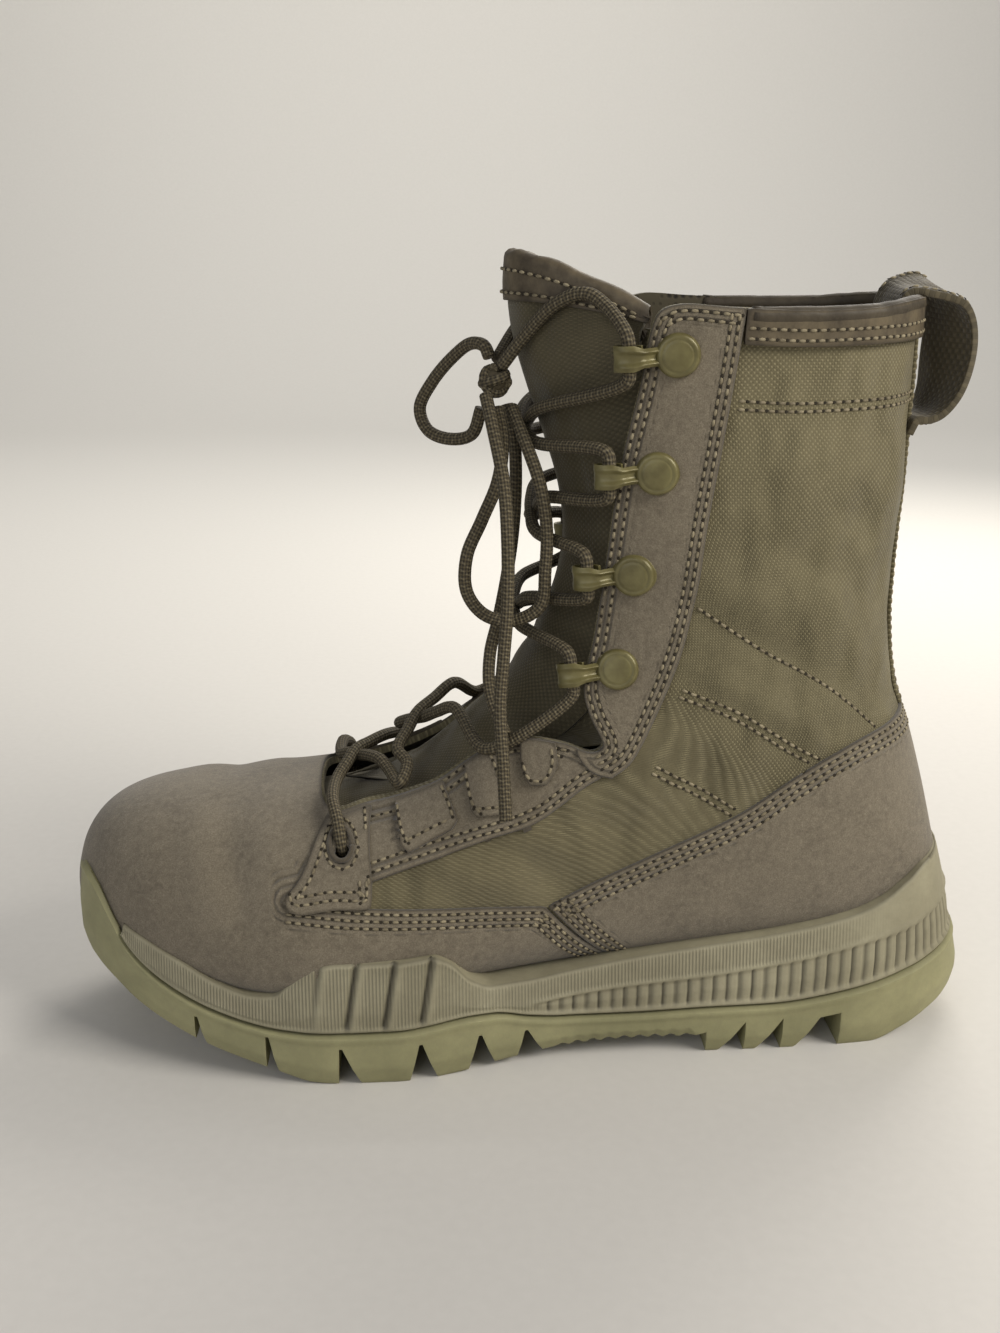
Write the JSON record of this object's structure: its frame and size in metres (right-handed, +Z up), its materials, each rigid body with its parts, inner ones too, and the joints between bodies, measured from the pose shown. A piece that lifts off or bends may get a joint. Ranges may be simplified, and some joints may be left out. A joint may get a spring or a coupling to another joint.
{
  "type": "combat boot",
  "caption": "Left lace-up combat boot with a suede and nylon upper, speed-lace hooks, padded tongue, heel pull loop and a deeply lugged sole.",
  "frame": {"origin": "middle of the heel's flat tread, on the floor that the boot stands on", "axes": "+Z up, -X toward the toe, +X toward the back of the heel, -Y toward the outer (lateral) side, +Y toward the inner (medial) side"},
  "size_m": [0.3068, 0.1106, 0.253],
  "materials": {
    "suede": "suede",
    "nylon": "woven",
    "webbing": "woven",
    "lining": "knitted",
    "outsole_rubber": "matt moulded",
    "midsole_rubber": "matt moulded",
    "hook_metal": "satin paint",
    "lace": "braided"
  },
  "bodies": {
    "root": {"outsole": "outsole_rubber", "midsole": "midsole_rubber", "upper": "suede", "insole": "lining", "tongue": "nylon", "pull_loop": "webbing", "lace_hook_lateral_1": "hook_metal", "lace_hook_medial_1": "hook_metal", "lace_hook_lateral_2": "hook_metal", "lace_hook_medial_2": "hook_metal", "lace_hook_lateral_3": "hook_metal", "lace_hook_medial_3": "hook_metal", "lace_hook_lateral_4": "hook_metal", "lace_hook_medial_4": "hook_metal", "lace_crossing_1": "lace", "lace_crossing_2": "lace", "lace_crossing_3": "lace", "lace_crossing_4": "lace", "lace_crossing_5": "lace", "lace_knot": "lace", "lace_loop_small": "lace", "lace_loop_long": "lace", "lace_end_near": "lace", "lace_end_far": "lace"}
  },
  "joints": []
}
